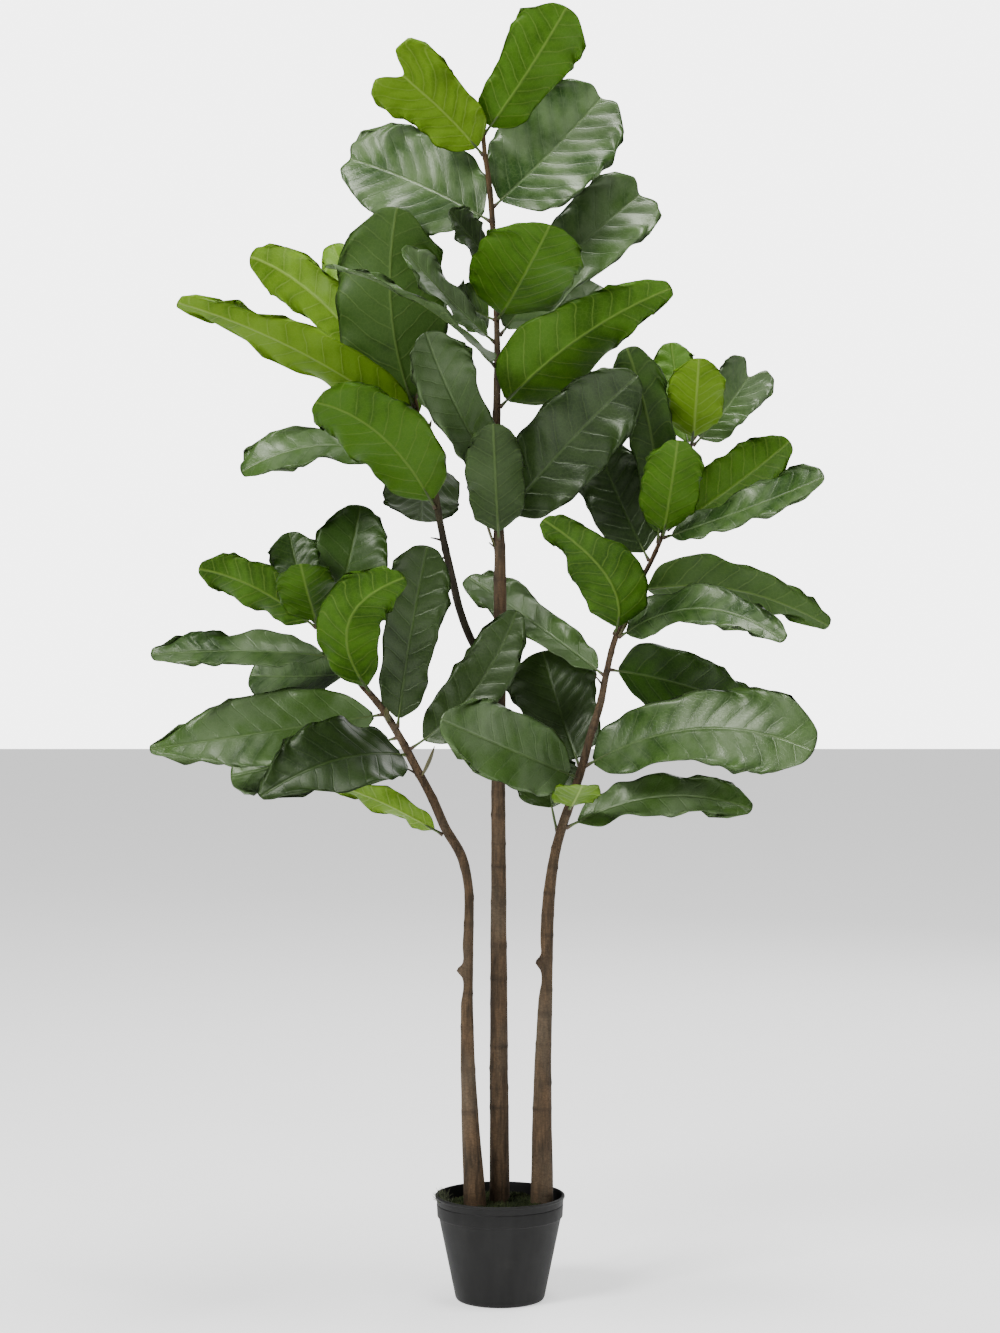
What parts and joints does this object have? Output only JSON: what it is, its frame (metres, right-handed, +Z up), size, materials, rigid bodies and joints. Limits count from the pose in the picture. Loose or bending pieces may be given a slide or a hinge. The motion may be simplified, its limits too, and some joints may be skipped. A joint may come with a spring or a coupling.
{
  "type": "potted fiddle leaf fig",
  "caption": "Tall indoor fiddle leaf fig with bare lower trunks, broad waisted leaves above and a tapered dark nursery pot with a moss-topped soil.",
  "frame": {"origin": "centre of the flat underside of the pot, on the floor plane", "axes": "+Z up the trunks, -Y towards the front of the plant, +X to the right seen from the front"},
  "size_m": [0.9422, 0.4973, 1.7944],
  "materials": {
    "pot_plastic": "matte charcoal moulded plastic",
    "moss": "dull, rough, dark green moss over dark soil",
    "old_bark": "dull grey-brown bark",
    "young_bark": "dull dark brown bark",
    "leaf_green": "waxy, half glossy green"
  },
  "bodies": {
    "root": {"pot": "pot_plastic", "soil": "moss", "trunk_centre": "old_bark", "trunk_left": "old_bark", "trunk_right": "old_bark", "side_branch": "young_bark", "leaf_c01": "leaf_green", "leaf_c02": "leaf_green", "leaf_c03": "leaf_green", "leaf_c04": "leaf_green", "leaf_c05": "leaf_green", "leaf_c06": "leaf_green", "leaf_c07": "leaf_green", "leaf_c08": "leaf_green", "leaf_c09": "leaf_green", "leaf_c10": "leaf_green", "leaf_c11": "leaf_green", "leaf_c12": "leaf_green", "leaf_c13": "leaf_green", "leaf_c14": "leaf_green", "leaf_c15": "leaf_green", "leaf_b01": "leaf_green", "leaf_b02": "leaf_green", "leaf_b03": "leaf_green", "leaf_b04": "leaf_green", "leaf_b05": "leaf_green", "leaf_b06": "leaf_green", "leaf_b07": "leaf_green", "leaf_r01": "leaf_green", "leaf_r02": "leaf_green", "leaf_r03": "leaf_green", "leaf_r04": "leaf_green", "leaf_r05": "leaf_green", "leaf_r06": "leaf_green", "leaf_r07": "leaf_green", "leaf_r08": "leaf_green", "leaf_r09": "leaf_green", "leaf_r10": "leaf_green", "leaf_r11": "leaf_green", "leaf_r12": "leaf_green", "leaf_r13": "leaf_green", "leaf_r14": "leaf_green", "leaf_r15": "leaf_green", "leaf_r16": "leaf_green", "leaf_r17": "leaf_green", "leaf_r18": "leaf_green", "leaf_r19": "leaf_green", "leaf_l01": "leaf_green", "leaf_l02": "leaf_green", "leaf_l03": "leaf_green", "leaf_l04": "leaf_green", "leaf_l05": "leaf_green", "leaf_l06": "leaf_green", "leaf_l07": "leaf_green", "leaf_l08": "leaf_green", "leaf_l09": "leaf_green", "leaf_l10": "leaf_green", "leaf_l11": "leaf_green", "leaf_l12": "leaf_green", "leaf_l13": "leaf_green"}
  },
  "joints": []
}
